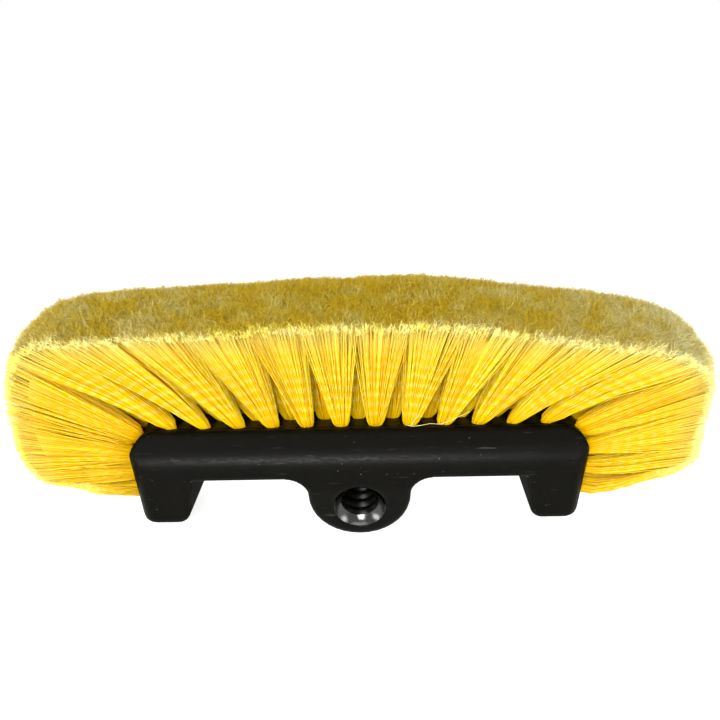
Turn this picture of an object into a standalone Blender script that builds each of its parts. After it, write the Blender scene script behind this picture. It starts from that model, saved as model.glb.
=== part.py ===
"""Car wash brush head: a moulded block on two legs, with a slanted pole socket
and staggered tufts that fan over its top and down both ends.

Metres, +Z up, bristles up. While the block is shaped, height zero is its
tufted face; the last step stands the brush on its lowest edge.
"""

import math

import bmesh
import bpy
from mathutils import Matrix, Vector

# Block: outer form
BLOCK_HALF_LENGTH = 0.0928
BLOCK_HALF_DEPTH = 0.0345
BEAM_THICKNESS = 0.0193
LEG_DROP = 0.0180
TOP_CORNER_RADIUS = 0.010
END_DRAFT_ANGLE = math.radians(10)
FRONT_DRAFT_ANGLE = math.radians(2)
PARTING_DEPTH = 0.0152
RIM_RADIUS = 0.002
UPRIGHT_CORNER_RADIUS = 0.006

# Block: the slopes that run down from the tufted face to the front and back
SLOPE_WIDTH = 0.0079
SLOPE_ANGLE = math.radians(52)
SLOPE_TOP_RADIUS = 0.0035
SLOPE_FOOT_RADIUS = 0.012

# Legs: their widths are measured in from the block's half length
LEG_ROOT_WIDTH = 0.0248
LEG_FOOT_WIDTH = 0.0233
LEG_OUTER_RADIUS = 0.0065
LEG_INNER_RADIUS = 0.005
LEG_ROOT_RADIUS = 0.001
LEG_EDGE_RADIUS = 0.005

# Boss and pole socket
SOCKET_ANGLE = math.radians(22)
SOCKET_SETBACK = 0.005
SOCKET_DEPTH_BELOW_TOP = 0.0328
SOCKET_RADIUS = 0.0097
SOCKET_LENGTH = 0.030
LEAD_IN_RADIUS = 0.011
LEAD_IN_LENGTH = 0.002
BOSS_RADIUS = 0.021
BOSS_RISE = 0.0054
BOSS_FLARE_RADIUS = 0.009
BOSS_LENGTH = 0.040
BOSS_BACK_SHARE = 0.8
BOSS_RIM_RADIUS = 0.0015
BOSS_BROW_RADIUS = 0.030
BOSS_BROW_ANGLE = math.radians(16)
BOSS_SINK = 0.0001

# Slices of the block that carry the tufts
SLICE_THICKNESS = 0.0025
SLICE_GAP = 0.0003
TUFT_MARGIN = 0.0034

# Tuft pattern on the block
LAST_COLUMN_SETBACK = 0.01525
CORNER_PITCH = 0.0140
END_PITCH = 0.0078
OUTER_ROW_SETBACK = 0.0054
TOP_COLUMNS = 6
END_LEVELS = 4
OUTER_ROW = 2

# Strands
STRAND_HALF_WIDTH = 0.00135
STRAND_OFFSET = 0.0016
STRAND_ROOT = 0.0010
STRAND_KNEE = 0.0001
STRAND_FILL_SHARE = 0.76

# Trimmed outline of the bristles
BRUSH_HALF_LENGTH = 0.152
BRUSH_HALF_DEPTH = 0.053
TRIM_HEIGHT = 0.058

# Tip of each column of tufts, from the middle outwards, as shares of the
# half length and of the trim height
TIP_REACH_SHARES = (0.067, 0.200, 0.355, 0.520, 0.691, 0.849, 0.967, 1.000, 0.984, 0.934, 0.850)
TIP_HEIGHT_SHARES = (1.0, 0.988, 0.965, 0.922, 0.845, 0.690, 0.380, 0.010, -0.276, -0.483, -0.640)
# The same columns: spread to the front and back, and what the outer rows
# lose in reach and in height
TIP_SPREAD_SHARES = (1.0, 1.0, 1.0, 1.0, 0.99, 0.97, 0.92, 0.87, 0.83, 0.78, 0.72)
TIP_ROUND_SHARES = (0.0, 0.0, 0.0, 0.005, 0.02, 0.045, 0.085, 0.105, 0.11, 0.11, 0.11)
TIP_DROP_SHARES = (0.17, 0.17, 0.17, 0.17, 0.165, 0.14, 0.07, -0.02, -0.10, -0.19, -0.24)

OVERRUN = 0.004
ARC_STEP = math.radians(10)
BEND_FACETS = 4
HOLE_SIDES = 32


def new_material(name, colour, roughness):
    material = bpy.data.materials.new(name)
    material.use_nodes = True
    shader = material.node_tree.nodes["Principled BSDF"]
    shader.inputs["Base Color"].default_value = (*colour, 1.0)
    shader.inputs["Roughness"].default_value = roughness
    shader.inputs["Metallic"].default_value = 0.0
    material.diffuse_color = (*colour, 1.0)
    return material


def arc(centre, radius, start, end):
    """Points along an arc, both ends included."""
    steps = max(2, math.ceil(abs(end - start) / ARC_STEP))
    turns = [start + (end - start) * step / steps for step in range(steps + 1)]
    return [(centre[0] + radius * math.cos(turn), centre[1] + radius * math.sin(turn)) for turn in turns]


def rounded(corners):
    """An outline through corners (x, y, radius), each corner made an arc."""
    points = []
    for index, (x, y, radius) in enumerate(corners):
        here = Vector((x, y))
        before = (Vector(corners[index - 1][:2]) - here).normalized()
        after = (Vector(corners[(index + 1) % len(corners)][:2]) - here).normalized()
        half_angle = before.angle(after) / 2
        if radius == 0:
            points.append((x, y))
            continue
        centre = here + (before + after).normalized() * radius / math.sin(half_angle)
        first = here + before * radius / math.tan(half_angle) - centre
        last = here + after * radius / math.tan(half_angle) - centre
        start = math.atan2(first.y, first.x)
        turn = math.remainder(math.atan2(last.y, last.x) - start, 2 * math.pi)
        points += arc(centre, radius, start, start + turn)
    return points


def mirrored(half):
    """A closed outline from its right half, listed from top to bottom."""
    return half + [(-x, y) for x, y in reversed(half) if x != 0]


def both_sides(right):
    """A line from its right half, run from the left end to the right."""
    return [(-x, y) for x, y in reversed(right[1:])] + right


def outline_solid(name, points, half_thickness, rim_radius=0.0):
    """A mesh: a flat outline, thick along local Z, its two rims rounded."""
    curve = bpy.data.curves.new(name, "CURVE")
    curve.dimensions = "2D"
    curve.fill_mode = "BOTH"
    curve.extrude = half_thickness - rim_radius
    curve.bevel_depth = rim_radius
    curve.bevel_resolution = 1
    curve.offset = -rim_radius
    spline = curve.splines.new("POLY")
    spline.points.add(len(points) - 1)
    for point, (x, y) in zip(spline.points, points):
        point.co = (x, y, 0.0, 1.0)
    spline.use_cyclic_u = True
    sketch = bpy.data.objects.new(name + "_sketch", curve)
    bpy.context.scene.collection.objects.link(sketch)
    depsgraph = bpy.context.evaluated_depsgraph_get()
    mesh = bpy.data.meshes.new_from_object(sketch.evaluated_get(depsgraph))
    bpy.data.objects.remove(sketch)
    form = bmesh.new()
    form.from_mesh(mesh)
    bmesh.ops.remove_doubles(form, verts=form.verts, dist=SLICE_GAP / 100)
    bmesh.ops.recalc_face_normals(form, faces=form.faces)
    form.to_mesh(mesh)
    form.free()
    mesh.name = name
    return mesh


def add_object(name, mesh, collection, material=None):
    item = bpy.data.objects.new(name, mesh)
    collection.objects.link(item)
    if material:
        mesh.materials.clear()
        mesh.materials.append(material)
    else:
        item.hide_render = True
        item.display_type = "WIRE"
    return item


def combine(item, other, operation):
    boolean = item.modifiers.new(other.name, "BOOLEAN")
    boolean.operation = operation
    boolean.solver = "EXACT"
    boolean.object = other


# Local Z of an outline turned to the front, and to the right
TO_FRONT = Matrix(((1, 0, 0, 0), (0, 0, -1, 0), (0, 1, 0, 0), (0, 0, 0, 1)))
TO_SIDE = Matrix(((0, 0, 1, 0), (1, 0, 0, 0), (0, 1, 0, 0), (0, 0, 0, 1)))

END_TURN = math.pi / 2 + END_DRAFT_ANGLE
END_LINE_TOP = BLOCK_HALF_LENGTH - TOP_CORNER_RADIUS + TOP_CORNER_RADIUS * math.tan(END_TURN / 2)
FOOT_LEVEL = -(BEAM_THICKNESS + LEG_DROP)
SLOPE_START = BLOCK_HALF_DEPTH - SLOPE_WIDTH
TUFT_PITCH = (BLOCK_HALF_LENGTH - LAST_COLUMN_SETBACK) / (TOP_COLUMNS - 0.5)
ROW_PITCH = (SLOPE_START - OUTER_ROW_SETBACK) / OUTER_ROW


def draft_sides(mesh, also_ends):
    """Lean the front and back, and maybe the ends, in towards the feet."""
    top_half_depth = BLOCK_HALF_DEPTH + PARTING_DEPTH * math.tan(FRONT_DRAFT_ANGLE)
    for vertex in mesh.vertices:
        height = vertex.co.z
        vertex.co.y *= 1 + height * math.tan(FRONT_DRAFT_ANGLE) / top_half_depth
        if also_ends:
            vertex.co.x *= 1 + height * math.tan(END_DRAFT_ANGLE) / END_LINE_TOP


def block_outline():
    """The block from the front: a beam with a leg at each end."""
    foot_outer = END_LINE_TOP + FOOT_LEVEL * math.tan(END_DRAFT_ANGLE)
    right = [
        (END_LINE_TOP, 0.0, TOP_CORNER_RADIUS),
        (foot_outer, FOOT_LEVEL, LEG_OUTER_RADIUS),
        (BLOCK_HALF_LENGTH - LEG_FOOT_WIDTH, FOOT_LEVEL, LEG_INNER_RADIUS),
        (BLOCK_HALF_LENGTH - LEG_ROOT_WIDTH, -BEAM_THICKNESS, LEG_ROOT_RADIUS),
    ]
    left = [(-x, z, radius) for x, z, radius in reversed(right)]
    return rounded(right + left)


def side_outline():
    """The block from its end: a flat top between two slopes."""
    shoulder = (BLOCK_HALF_DEPTH - SLOPE_START) * math.tan(SLOPE_ANGLE)
    below = FOOT_LEVEL - OVERRUN
    right = [
        (SLOPE_START, 0.0, SLOPE_TOP_RADIUS),
        (BLOCK_HALF_DEPTH, -shoulder, SLOPE_FOOT_RADIUS),
        (BLOCK_HALF_DEPTH, below, 0.0),
    ]
    left = [(-y, z, radius) for y, z, radius in reversed(right)]
    return rounded(right + left)


def plan_outline():
    """The block from above, at the level of the tufted face."""
    half_length = END_LINE_TOP + BOSS_SINK
    half_depth = BLOCK_HALF_DEPTH + PARTING_DEPTH * math.tan(FRONT_DRAFT_ANGLE) + BOSS_SINK
    return rounded([
        (half_length, half_depth, UPRIGHT_CORNER_RADIUS),
        (half_length, -half_depth, UPRIGHT_CORNER_RADIUS),
        (-half_length, -half_depth, UPRIGHT_CORNER_RADIUS),
        (-half_length, half_depth, UPRIGHT_CORNER_RADIUS),
    ])


def arch_outline():
    """The space between the legs from above, flared round their edges."""
    inner = BLOCK_HALF_LENGTH - LEG_ROOT_WIDTH
    centre_x = inner + LEG_EDGE_RADIUS
    centre_y = BLOCK_HALF_DEPTH - LEG_EDGE_RADIUS
    right = [(centre_x, BLOCK_HALF_DEPTH + OVERRUN)]
    right += arc((centre_x, centre_y), LEG_EDGE_RADIUS, math.pi / 2, math.pi)
    right += arc((centre_x, -centre_y), LEG_EDGE_RADIUS, math.pi, math.pi * 3 / 2)
    right.append((centre_x, -BLOCK_HALF_DEPTH - OVERRUN))
    return mirrored(right)


def boss_outline():
    """The boss along its bore: round below, flaring out into the beam."""
    underside = (SOCKET_DEPTH_BELOW_TOP - BEAM_THICKNESS) / math.cos(SOCKET_ANGLE)
    flare_centre = (BOSS_RADIUS + BOSS_FLARE_RADIUS, underside - BOSS_FLARE_RADIUS)
    buried = underside + BEAM_THICKNESS / 2
    right = [(flare_centre[0], buried)]
    right += arc(flare_centre, BOSS_FLARE_RADIUS, math.pi / 2, math.pi)
    right += arc((0.0, BOSS_RISE), BOSS_RADIUS, 0.0, -math.pi / 2)
    right[-1] = (0.0, right[-1][1])
    return mirrored(right)


def brow_outline():
    """The boss from its end: upright at the beam, bowing back to the mouth."""
    front = -BLOCK_HALF_DEPTH + BOSS_SINK
    top = -PARTING_DEPTH + SLICE_THICKNESS
    centre = (front + BOSS_BROW_RADIUS, -PARTING_DEPTH)
    brow = arc(centre, BOSS_BROW_RADIUS, math.pi, math.pi + BOSS_BROW_ANGLE)
    drop = SOCKET_DEPTH_BELOW_TOP + BOSS_RADIUS * 2
    reach = drop * math.tan(BOSS_BROW_ANGLE)
    low = (brow[-1][0] + reach, brow[-1][1] - drop)
    return [(front, top)] + brow + [low, (BLOCK_HALF_DEPTH, low[1]), (BLOCK_HALF_DEPTH, top)]


def cone_mesh(name, low_radius, high_radius, low, high):
    """A round cutter along local Z, from height low to height high."""
    form = bmesh.new()
    middle = Matrix.Translation((0.0, 0.0, (low + high) / 2))
    bmesh.ops.create_cone(
        form, cap_ends=True, segments=HOLE_SIDES, radius1=low_radius,
        radius2=high_radius, depth=high - low, matrix=middle)
    mesh = bpy.data.meshes.new(name)
    form.to_mesh(mesh)
    form.free()
    return mesh


def skin(along, inset):
    """A point of the block's middle outline, right half, at a length along
    it from the centre, and set in below the surface. The bend is faceted."""
    flat = BLOCK_HALF_LENGTH - TOP_CORNER_RADIUS
    bend = TOP_CORNER_RADIUS * END_TURN
    if along <= flat:
        return (along, -inset)
    radius = TOP_CORNER_RADIUS - inset
    facet = min((along - flat) / bend * BEND_FACETS, BEND_FACETS)
    first = min(math.floor(facet), BEND_FACETS - 1)
    ends = [END_TURN * step / BEND_FACETS for step in (first, first + 1)]
    (x0, z0), (x1, z1) = ((math.sin(turn) * radius, math.cos(turn) * radius) for turn in ends)
    down = max(along - flat - bend, 0)
    x = flat + x0 + (x1 - x0) * (facet - first) - down * math.sin(END_DRAFT_ANGLE)
    z = -TOP_CORNER_RADIUS + z0 + (z1 - z0) * (facet - first) - down * math.cos(END_DRAFT_ANGLE)
    return (x, z)


def skin_stops(start, end):
    """Lengths along the skin from start to end, with each facet of the bend."""
    flat = BLOCK_HALF_LENGTH - TOP_CORNER_RADIUS
    bend = [flat + TOP_CORNER_RADIUS * END_TURN * step / BEND_FACETS for step in range(BEND_FACETS + 1)]
    return [start] + [stop for stop in bend if start < stop < end] + [end]


def skin_band(start, end, outer_inset, inner_inset):
    """Outline of a layer of the block between two lengths along the skin."""
    stops = skin_stops(start, end)
    outer = [skin(stop, outer_inset) for stop in stops]
    inner = [skin(stop, inner_inset) for stop in reversed(stops)]
    return outer + inner


def tuft_along(column):
    """Length along the skin of a tuft column; half columns lie between."""
    last_top = TOP_COLUMNS - 0.5
    if column <= last_top:
        return TUFT_PITCH * column
    if column <= last_top + 1:
        return TUFT_PITCH * last_top + CORNER_PITCH * (column - last_top)
    return TUFT_PITCH * last_top + CORNER_PITCH + END_PITCH * (column - last_top - 1)


def blend_shares(shares, column, odd=False):
    """A smooth curve through a table whose first entry is at column 0.5."""
    step = column - 0.5
    low = min(math.floor(step), len(shares) - 2)
    fraction = step - low

    def entry(index):
        if index < 0:
            value = shares[min(-index - 1, len(shares) - 1)]
            return -value if odd else value
        if index >= len(shares):
            return 2 * shares[-1] - shares[-2]
        return shares[index]

    before, start, end, after = (entry(low + shift) for shift in (-1, 0, 1, 2))
    pull = (
        2 * start
        + (end - before) * fraction
        + (2 * before - 5 * start + 4 * end - after) * fraction ** 2
        + (3 * start - before - 3 * end + after) * fraction ** 3
    )
    return pull / 2


def tip(column, row):
    """Where a strand of this column and row ends, on the trimmed outline."""
    outward = (row / (OUTER_ROW + 0.5)) ** 2
    reach = blend_shares(TIP_REACH_SHARES, column, odd=True) * BRUSH_HALF_LENGTH
    height = blend_shares(TIP_HEIGHT_SHARES, column)
    spread = blend_shares(TIP_SPREAD_SHARES, column)
    round_off = blend_shares(TIP_ROUND_SHARES, column)
    drop = blend_shares(TIP_DROP_SHARES, column)
    x = reach * (1 - round_off * outward)
    y = BRUSH_HALF_DEPTH * spread * row / (OUTER_ROW + 0.5)
    z = TRIM_HEIGHT * (height - drop * outward)
    return Vector((x, y, z))


def root(along, y, inset):
    """Where a strand starts, just inside its slice."""
    x, z = skin(abs(along), inset)
    return Vector((math.copysign(x, along), y, z))


def add_strand(form, column, row, side_column, side_row):
    """One four-sided strand: upright in its slice, then leaning from a knee
    at the surface, or just under it on the bend, and widening to its tip."""
    along = tuft_along(column) + side_column * STRAND_OFFSET
    y = row * ROW_PITCH + side_row * STRAND_OFFSET
    tip_column = column + side_column / 4
    tip_row = row + side_row / 4
    half_cell = STRAND_FILL_SHARE / 4
    # The back half is listed mirrored, so that its twisted sides fold as the front's
    near, far = (-1, 1) if row <= 0 else (1, -1)
    ring = ((-1, near), (1, near), (1, far), (-1, far))
    foot = [(along + a * STRAND_HALF_WIDTH, y + b * STRAND_HALF_WIDTH) for a, b in ring]
    knee = 0.0 if column <= TOP_COLUMNS - 0.5 else STRAND_KNEE
    roots = [root(*place, STRAND_ROOT) for place in foot]
    knees = [root(*place, knee) for place in foot]
    tips = [tip(tip_column + a * half_cell, tip_row + b * half_cell) for a, b in ring]
    rings = [[form.verts.new(point) for point in points] for points in (roots, knees, tips)]
    form.faces.new(rings[0])
    form.faces.new(rings[-1])
    for low, high in zip(rings, rings[1:]):
        for index in range(4):
            after = (index + 1) % 4
            form.faces.new((low[index], low[after], high[after], high[index]))


def strands_mesh(name, tufts):
    form = bmesh.new()
    for column, row in tufts:
        for side_column in (-1, 1):
            for side_row in (-1, 1):
                add_strand(form, column, row, side_column, side_row)
    bmesh.ops.recalc_face_normals(form, faces=form.faces)
    mesh = bpy.data.meshes.new(name)
    form.to_mesh(mesh)
    form.free()
    return mesh


def flip_to_left(mesh):
    """A copy of a right-hand mesh, mirrored in the middle plane."""
    form = bmesh.new()
    form.from_mesh(mesh)
    bmesh.ops.scale(form, vec=(-1, 1, 1), verts=form.verts)
    bmesh.ops.reverse_faces(form, faces=form.faces)
    copy = bpy.data.meshes.new(mesh.name + "_left")
    form.to_mesh(copy)
    form.free()
    return copy


def add_tuft_node(name, band, low_y, high_y, tufts, place, left):
    """A slice of the block with its tufts, as one node."""
    collection, cutters, material, holder = place
    slab = outline_solid(name, band, (high_y - low_y) / 2)
    slab.transform(Matrix.Translation((0.0, (low_y + high_y) / 2, 0.0)) @ TO_FRONT)
    strands = strands_mesh(name + "_strands", tufts)
    if left:
        slab = flip_to_left(slab)
        strands = flip_to_left(strands)
    item = add_object(name, slab, collection, material)
    bundle = add_object(name + "_strands", strands, cutters)
    combine(item, bundle, "UNION")
    item.parent = holder
    bundle.parent = holder
    return item


def strip_limits(strip):
    """Where a strip of the top starts and ends along the skin."""
    quarter = 0.25
    return (tuft_along(strip + quarter) + SLICE_GAP / 2, tuft_along(strip + 1 + quarter) - SLICE_GAP / 2)


def main():
    for item in list(bpy.data.objects):
        bpy.data.objects.remove(item)
    scene = bpy.context.scene
    collection = bpy.data.collections.new("car_wash_brush")
    cutters = bpy.data.collections.new("cutters")
    scene.collection.children.link(collection)
    scene.collection.children.link(cutters)
    black = new_material("moulded_black_plastic", (0.012, 0.012, 0.010), 0.42)
    yellow = new_material("yellow_bristle", (0.90, 0.58, 0.03), 0.55)
    holder = bpy.data.objects.new("brush", None)
    collection.objects.link(holder)

    # The beam and legs: the front view, cut to the side view and the plan
    body_mesh = outline_solid("block", block_outline(), BLOCK_HALF_DEPTH, RIM_RADIUS)
    body_mesh.transform(TO_FRONT)
    for vertex in body_mesh.vertices:
        vertex.co.y *= 1 + PARTING_DEPTH * math.tan(FRONT_DRAFT_ANGLE) / BLOCK_HALF_DEPTH
    draft_sides(body_mesh, also_ends=False)
    block = add_object("block", body_mesh, collection, black)
    side_mesh = outline_solid("side_form", side_outline(), BLOCK_HALF_LENGTH + OVERRUN)
    side_mesh.transform(TO_SIDE)
    side_form = add_object("side_form", side_mesh, cutters)
    plan_mesh = outline_solid("plan_form", plan_outline(), -FOOT_LEVEL + OVERRUN)
    draft_sides(plan_mesh, also_ends=True)
    plan_form = add_object("plan_form", plan_mesh, cutters)
    combine(block, side_form, "INTERSECT")
    combine(block, plan_form, "INTERSECT")
    half_arch = (LEG_DROP - LEG_ROOT_RADIUS + OVERRUN) / 2
    arch_mesh = outline_solid("arch", arch_outline(), half_arch)
    arch_mesh.transform(Matrix.Translation((0.0, 0.0, -BEAM_THICKNESS - LEG_ROOT_RADIUS - half_arch)))
    arch = add_object("arch", arch_mesh, cutters)
    combine(block, arch, "DIFFERENCE")

    # The mouth of the socket: local Z points out along the bore
    mouth = bpy.data.objects.new("socket_mouth", None)
    cutters.objects.link(mouth)
    mouth.location = (0.0, -BLOCK_HALF_DEPTH + SOCKET_SETBACK, -SOCKET_DEPTH_BELOW_TOP)
    mouth.rotation_euler = (math.radians(90) + SOCKET_ANGLE, 0.0, 0.0)

    # The boss, narrower towards its back, with its front bowed to the beam
    boss_mesh = outline_solid("boss", boss_outline(), BOSS_LENGTH / 2, BOSS_RIM_RADIUS)
    boss_mesh.transform(Matrix.Translation((0.0, 0.0, -BOSS_LENGTH / 2)))
    for vertex in boss_mesh.vertices:
        narrowing = 1 + (1 - BOSS_BACK_SHARE) * vertex.co.z / BOSS_LENGTH
        vertex.co.x *= narrowing
        vertex.co.y *= narrowing
    boss = add_object("boss", boss_mesh, cutters)
    boss.parent = mouth
    brow_mesh = outline_solid("boss_brow", brow_outline(), BLOCK_HALF_LENGTH / 2)
    brow_mesh.transform(TO_SIDE)
    brow = add_object("boss_brow", brow_mesh, cutters)
    combine(boss, brow, "INTERSECT")
    combine(block, boss, "UNION")

    # The blind bore and its lead-in
    bore_mesh = cone_mesh("socket_bore", SOCKET_RADIUS, SOCKET_RADIUS, -SOCKET_LENGTH, OVERRUN)
    lead_slope = (LEAD_IN_RADIUS - SOCKET_RADIUS) / LEAD_IN_LENGTH
    wide = LEAD_IN_RADIUS + lead_slope * OVERRUN
    narrow = SOCKET_RADIUS - lead_slope * SLICE_GAP
    lead_mesh = cone_mesh("lead_in", narrow, wide, -LEAD_IN_LENGTH - SLICE_GAP, OVERRUN)
    for name, mesh in (("socket_bore", bore_mesh), ("lead_in", lead_mesh)):
        cutter = add_object(name, mesh, cutters)
        cutter.parent = mouth
        combine(block, cutter, "DIFFERENCE")

    # The seat of the slices, over the top and down both ends
    half_seat = OUTER_ROW * ROW_PITCH + TUFT_MARGIN
    last_column = TOP_COLUMNS + END_LEVELS - 0.5
    end_stop = tuft_along(last_column) + TUFT_MARGIN
    inset = SLICE_THICKNESS + SLICE_GAP
    stops = skin_stops(0.0, end_stop + SLICE_GAP)
    outer = both_sides([skin(stop, -OVERRUN) for stop in stops])
    inner = both_sides([skin(stop, inset) for stop in stops])
    seat_outline = outer + inner[::-1]
    seat_mesh = outline_solid("slice_seat", seat_outline, half_seat + SLICE_GAP)
    seat_mesh.transform(TO_FRONT)
    seat = add_object("slice_seat", seat_mesh, cutters)
    combine(block, seat, "DIFFERENCE")

    for item in (block, side_form, plan_form, arch, mouth, brow, seat):
        item.parent = holder

    # The middle strip, then matching strips outwards on both sides
    place = (collection, cutters, yellow, holder)
    half_strip = tuft_along(0.25) - SLICE_GAP / 2
    middle_band = [
        (-half_strip, 0.0), (half_strip, 0.0),
        (half_strip, -SLICE_THICKNESS), (-half_strip, -SLICE_THICKNESS),
    ]
    add_tuft_node("tufts_middle", middle_band, -half_seat, half_seat, [(0, -1), (0, 1)], place, False)
    wide_rows = range(-OUTER_ROW, OUTER_ROW + 1, 2)
    narrow_rows = range(-OUTER_ROW + 1, OUTER_ROW, 2)
    for side in ("right", "left"):
        for strip in range(TOP_COLUMNS):
            start, end = strip_limits(strip)
            band = skin_band(start, end, 0.0, SLICE_THICKNESS)
            tufts = [(strip + 0.5, row) for row in wide_rows] + [(strip + 1, row) for row in narrow_rows]
            name = f"tufts_{side}_top_{strip + 1}"
            add_tuft_node(name, band, -half_seat, half_seat, tufts, place, side == "left")
        top_end = strip_limits(TOP_COLUMNS - 1)[1] + SLICE_GAP
        band = skin_band(top_end, end_stop, 0.0, SLICE_THICKNESS)
        for row in range(-OUTER_ROW, OUTER_ROW + 1):
            low_y = max((row - 0.5) * ROW_PITCH + SLICE_GAP / 2, -half_seat)
            high_y = min((row + 0.5) * ROW_PITCH - SLICE_GAP / 2, half_seat)
            if row in wide_rows:
                tufts = [(TOP_COLUMNS + 0.5 + level, row) for level in range(END_LEVELS)]
            else:
                tufts = [(TOP_COLUMNS + 1 + level, row) for level in range(END_LEVELS - 1)]
            name = f"tufts_{side}_end_{row + OUTER_ROW + 1}"
            add_tuft_node(name, band, low_y, high_y, tufts, place, side == "left")

    # Stand the brush on the lowest edge of its boss
    bpy.context.view_layer.update()
    settled = block.evaluated_get(bpy.context.evaluated_depsgraph_get())
    lowest = min((settled.matrix_world @ vertex.co).z for vertex in settled.data.vertices)
    holder.location.z = -lowest
    for item in collection.objects:
        if item.type == "MESH":
            item.data.shade_smooth()
            item.data.set_sharp_from_angle(angle=math.radians(35))


main()
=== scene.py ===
# %% [markdown]
# # The looks of a car wash brush head
# The real object is a black moulded block on two legs, with a slanted threaded socket for a pole, and about a
# hundred tufts of yellow plastic filament whose ends are split into a soft fluff. The solid model gives the block
# and the places of the tufts. This lesson adds what makes them look real: the fine filaments themselves, the fluff,
# the thread, and the finishes. The model is loaded first, and its box is kept, so that the looks can be held to it.

# %% Load the solid model
import math

import bmesh
import bpy
import numpy as np
from mathutils import Matrix, Vector


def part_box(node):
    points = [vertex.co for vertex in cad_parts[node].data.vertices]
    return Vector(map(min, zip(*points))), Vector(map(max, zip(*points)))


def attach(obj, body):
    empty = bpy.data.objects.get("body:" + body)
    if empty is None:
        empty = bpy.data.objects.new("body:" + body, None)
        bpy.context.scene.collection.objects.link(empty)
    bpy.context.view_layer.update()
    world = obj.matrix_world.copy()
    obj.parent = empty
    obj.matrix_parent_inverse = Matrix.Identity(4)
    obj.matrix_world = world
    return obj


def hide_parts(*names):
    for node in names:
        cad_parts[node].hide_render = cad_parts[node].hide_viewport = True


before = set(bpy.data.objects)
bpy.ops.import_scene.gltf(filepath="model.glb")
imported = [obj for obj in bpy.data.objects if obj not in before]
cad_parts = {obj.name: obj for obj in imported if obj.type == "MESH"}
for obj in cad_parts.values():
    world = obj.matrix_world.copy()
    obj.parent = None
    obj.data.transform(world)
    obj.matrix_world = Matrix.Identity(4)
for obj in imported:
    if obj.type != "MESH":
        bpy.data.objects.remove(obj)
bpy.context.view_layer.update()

MM = 0.001
FACE_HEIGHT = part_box("block")[1].z
print("tufted face", round(FACE_HEIGHT / MM, 1), "mm above the floor")

# %% [markdown]
# ## Helpers for materials
# Colours are easy to read as hex values, but shaders work in linear light, so one function turns the first into the
# second. A material is a small graph, and each node in it is added by the same function. An input of a new node, or
# of the shader at the end of the graph, is either a plain value or another node's output.

# %% Colour and node helpers
def linear(hex_colour):
    """An sRGB hex colour in linear light."""
    shares = [int(hex_colour[place:place + 2], 16) / 255 for place in (1, 3, 5)]
    return (*[v / 12.92 if v <= 0.04045 else ((v + 0.055) / 1.055) ** 2.4 for v in shares], 1.0)


def fill_inputs(owner, node, inputs):
    """Link or fill some inputs of a node."""
    for name, value in inputs.items():
        if isinstance(value, bpy.types.NodeSocket):
            owner.node_tree.links.new(value, node.inputs[name])
        else:
            node.inputs[name].default_value = value


def add_node(owner, kind, inputs=None, **settings):
    """Add one shader node to a material or world, with its settings and links."""
    node = owner.node_tree.nodes.new("ShaderNode" + kind)
    for name, value in settings.items():
        setattr(node, name, value)
    fill_inputs(owner, node, inputs or {})
    return node


def new_material(name):
    """A material and its Principled shader."""
    material = bpy.data.materials.new(name)
    material.use_nodes = True
    return material, material.node_tree.nodes["Principled BSDF"]


def set_stops(ramp, stops):
    """Give a colour ramp its stops: share along it and colour."""
    while len(ramp.color_ramp.elements) < len(stops):
        ramp.color_ramp.elements.new(1.0)
    for element, (share, colour) in zip(ramp.color_ramp.elements, stops):
        element.position = share
        element.color = linear(colour)


print("mid grey in linear light", round(linear("#808080")[0], 3))

# %% [markdown]
# ## Moulded polypropylene
# The block is injection moulded in black polypropylene, in a tool with a fine spark-eroded grain. To the eye that is
# a satin black: soft wide highlights on the rounded edges, a slight cloudiness where the melt flowed, and the small
# pale scratches and dust that black plastic always shows. The real grain is about 0.1 mm, too fine to show, so it is
# drawn as coarse as 0.8 mm. The clouds are about 12 mm and the hairline scratches some 14 mm long. All of it is
# procedural, in the object's own space. The socket is formed by a polished core, so the same plastic is glossy round
# its mouth, and a little worn by poles on the thread.

# %% Materials of the block and its thread
CLOUD, GRAIN = 12 * MM, 0.8 * MM
SCRATCH_LENGTH, SCRATCH_WIDTH = 14 * MM, 0.9 * MM
DASH_LENGTH, DASH_WIDTH = 2.4 * MM, 0.7 * MM
SPECK_SPACING, DUSTY_PATCH = 2.6 * MM, 9 * MM
GRAIN_DEPTH, BROKEN_EDGE = 0.05 * MM, 3 * MM


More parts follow.
